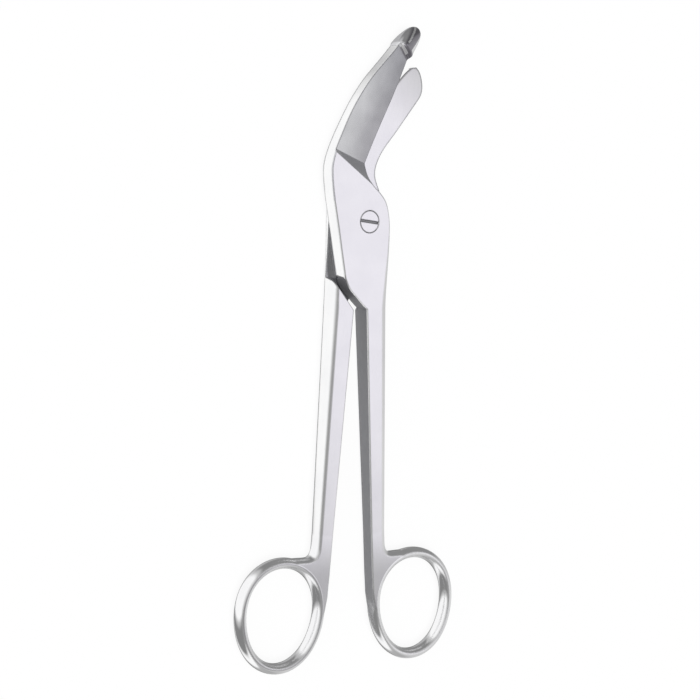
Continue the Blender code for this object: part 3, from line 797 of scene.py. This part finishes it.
def front_finish(at, normal):
    """The finish of a face of the front half, by its middle and its direction in the closed position. The
    nose gets painted highlights and shade, the inner side painted shade.
    """
    axis = Vector((math.sin(NOSE_AXIS), math.cos(NOSE_AXIS), 0.0))
    from_root = at - Vector((*NOSE_ROOT, 0.0))
    past_root = from_root.dot(axis)
    if past_root > NOSE_START + 0.05:
        return nose_highlights_and_shade(past_root, from_root.cross(axis).z, normal)
    if normal.z > 0.997 or normal.z < -0.9:
        return SATIN
    if at.y > 8 and at.z > MATING + 0.05 and normal.z > 0.25:
        on_grind = normal.z > 0.80 and at.x * 0.62 + at.y * 0.785 > 10
        return GROUND_FACE if on_grind else RUNOUT
    upright = abs(normal.z) < 0.5
    if upright and normal.x < -0.3 and INNER_END < at.y < SPINE_END and at.x < PARTING + 7:
        return INNER
    if upright and normal.x < -0.5 and at.y > SPINE_END:
        return SPINE if at.y > LAP_WALL_TOP else LAP_WALL
    return POLISH


def rear_finish(at, normal):
    """The finish of a face of the rear half, by its middle and its direction in the closed position. The
    inner side and the shoulder get the inner steel, darkened as painted shade.
    """
    if abs(normal.z) > 0.985:
        return BLADE if normal.z > 0 and at.z < REAR_LAP + 0.1 else SATIN
    inner_side = normal.x > 0.7 and abs(normal.z) < 0.5 and at.x > PARTING - 7
    if inner_side and INNER_END < at.y < REAR_INNER_TOP:
        return INNER
    shoulder = normal.y > 0.05 and at.z > REAR_LAP and at.x > PARTING - 9.6
    if shoulder and -45 < at.y < -8:
        return INNER
    return POLISH


def screw_finish(at, normal):
    """The finish of a face of the screw: the head's satin face, and the rougher inner steel, darkened as
    painted shade, in its slot.
    """
    return SCREW if normal.z > 0.5 and at.z > THICK - 0.3 else INNER


def piece_of(mesh, node, body, turn, finish_of):
    """A finely drawn piece in place of a node, each face with its finish."""
    for face in mesh.polygons:
        material = finish_of(face.center / MM, face.normal)
        if material.name not in mesh.materials:
            mesh.materials.append(material)
        face.material_index = mesh.materials.find(material.name)
    mesh.transform(Matrix.Rotation(turn, 4, "Z"))
    mesh.shade_smooth()
    mesh.set_sharp_from_angle(angle=math.radians(20))
    piece = bpy.data.objects.new(node + "_steel", mesh)
    bpy.context.scene.collection.objects.link(piece)
    even = piece.modifiers.new("even", "WEIGHTED_NORMAL")
    even.keep_sharp = True
    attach(piece, body)
    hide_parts(node)


def compass(tree, x, y):
    """The compass turn of a direction, 0 to 1 from +X towards +Y."""
    angle = add_node(tree, "ShaderNodeMath", operation="ARCTAN2")
    tree.links.new(y, angle.inputs[0])
    tree.links.new(x, angle.inputs[1])
    turn = add_node(tree, "ShaderNodeMath", operation="MULTIPLY")
    turn.inputs[1].default_value = 0.5 / math.pi
    tree.links.new(angle.outputs[0], turn.inputs[0])
    wrapped = add_node(tree, "ShaderNodeMath", operation="FLOORED_MODULO")
    wrapped.inputs[1].default_value = 1.0
    tree.links.new(turn.outputs[0], wrapped.inputs[0])
    return wrapped.outputs[0]


def round_the_room(tree, turn, stops):
    """The levels of one height of the room around the compass."""
    ramp = add_node(tree, "ShaderNodeValToRGB")
    ramp.color_ramp.interpolation = "EASE"
    stops = stops + [(360, stops[0][1])]
    while len(ramp.color_ramp.elements) < len(stops):
        ramp.color_ramp.elements.new(1.0)
    for i, (degrees, level) in enumerate(stops):
        ramp.color_ramp.elements[i].position = degrees / 360
        ramp.color_ramp.elements[i].color = (level, level, level, 1)
    tree.links.new(turn, ramp.inputs["Fac"])
    return ramp.outputs["Color"]


def studio():
    """The room that the steel mirrors. The camera itself sees plain white."""
    world = bpy.data.worlds.new("studio")
    bpy.context.scene.world = world
    world.use_nodes = True
    tree = world.node_tree
    tree.nodes.clear()
    direction = add_node(tree, "ShaderNodeTexCoord").outputs["Generated"]
    parts = add_node(tree, "ShaderNodeSeparateXYZ")
    tree.links.new(direction, parts.inputs[0])
    turn = compass(tree, parts.outputs["X"], parts.outputs["Y"])

    low, high = (math.sin(math.radians(angle)) for angle in CEILING_ELEVATION)
    upper = fade(tree, parts.outputs["Z"], low, high)
    room = mixed(tree, upper, round_the_room(tree, turn, WALLS), round_the_room(tree, turn, CEILING))
    low, high = (math.sin(math.radians(angle)) for angle in GROUND_ELEVATION)
    room = mixed(tree, fade(tree, parts.outputs["Z"], low, high), round_the_room(tree, turn, GROUND), room)
    inner, outer = (math.cos(math.radians(angle)) for angle in SOFT_BOX_SPREAD)
    near = likeness(tree, direction, tuple(Vector(SOFT_BOX).normalized()))
    room = mixed(tree, fade(tree, near, outer, inner), room, SOFT_BOX_COLOUR)

    light = add_node(tree, "ShaderNodeBackground")
    tree.links.new(room, light.inputs["Color"])
    white = add_node(tree, "ShaderNodeBackground")
    white.inputs["Color"].default_value = (1, 1, 1, 1)
    path = add_node(tree, "ShaderNodeLightPath")
    choose = add_node(tree, "ShaderNodeMixShader")
    out = add_node(tree, "ShaderNodeOutputWorld")
    tree.links.new(path.outputs["Is Camera Ray"], choose.inputs["Fac"])
    tree.links.new(light.outputs[0], choose.inputs[1])
    tree.links.new(white.outputs[0], choose.inputs[2])
    tree.links.new(choose.outputs[0], out.inputs["Surface"])


def table_white():
    """A material that the camera sees as nearly plain white, with a faint shadow."""
    material, tree, shader = nodes_of("table_white")
    shader.inputs["Base Color"].default_value = (1.0, 1.0, 1.0, 1)
    shader.inputs["Roughness"].default_value = 1.0
    white = add_node(tree, "ShaderNodeEmission")
    white.inputs["Color"].default_value = (1, 1, 1, 1)
    path = add_node(tree, "ShaderNodeLightPath")
    share = add_node(tree, "ShaderNodeMath", operation="MULTIPLY")
    share.inputs[1].default_value = TABLE_WHITE
    mix = add_node(tree, "ShaderNodeMixShader")
    tree.links.new(path.outputs["Is Camera Ray"], share.inputs[0])
    tree.links.new(share.outputs[0], mix.inputs["Fac"])
    tree.links.new(shader.outputs[0], mix.inputs[1])
    tree.links.new(white.outputs[0], mix.inputs[2])
    tree.links.new(mix.outputs[0], tree.nodes["Material Output"].inputs["Surface"])
    return material


def floor():
    """A white table under the shears, which their steel doesn't mirror."""
    mesh = bpy.data.meshes.new("table")
    form = bmesh.new()
    bmesh.ops.create_grid(form, x_segments=1, y_segments=1, size=TABLE_SIZE)
    form.to_mesh(mesh)
    form.free()
    mesh.materials.append(table_white())
    table = bpy.data.objects.new("table", mesh)
    table.location.z = cad_box[0][2] - TABLE_GAP
    table.visible_glossy = False
    bpy.context.scene.collection.objects.link(table)


def lamp():
    """A soft light from above for the shadow on the table, which the steel doesn't mirror."""
    light = bpy.data.lights.new("lamp", "SUN")
    light.energy = 1.5
    light.angle = math.radians(40)
    source = bpy.data.objects.new("lamp", light)
    source.rotation_euler = (math.radians(8), math.radians(-10), 0.0)
    source.visible_glossy = False
    bpy.context.scene.collection.objects.link(source)


def camera():
    """The camera of the photograph."""
    data = bpy.data.cameras.new("camera")
    data.sensor_width = 36.0
    data.lens = CAMERA_LENS
    data.clip_start = 0.01
    data.clip_end = 20.0
    view = bpy.data.objects.new("camera", data)
    turn = Matrix((CAMERA_RIGHT, CAMERA_UP, CAMERA_BACK)).transposed().to_4x4()
    view.matrix_world = Matrix.Translation(CAMERA_PLACE) @ turn
    bpy.context.scene.collection.objects.link(view)
    bpy.context.scene.camera = view


piece_of(front_mesh(), "front_half", "front_half", FRONT_OPEN, front_finish)
piece_of(rear_mesh(), "rear_half", "rear_half", REAR_OPEN, rear_finish)
piece_of(screw_mesh(), "pivot_screw", "rear_half", 0.0, screw_finish)
studio()
floor()
lamp()
camera()
bpy.context.scene.view_settings.view_transform = "Standard"
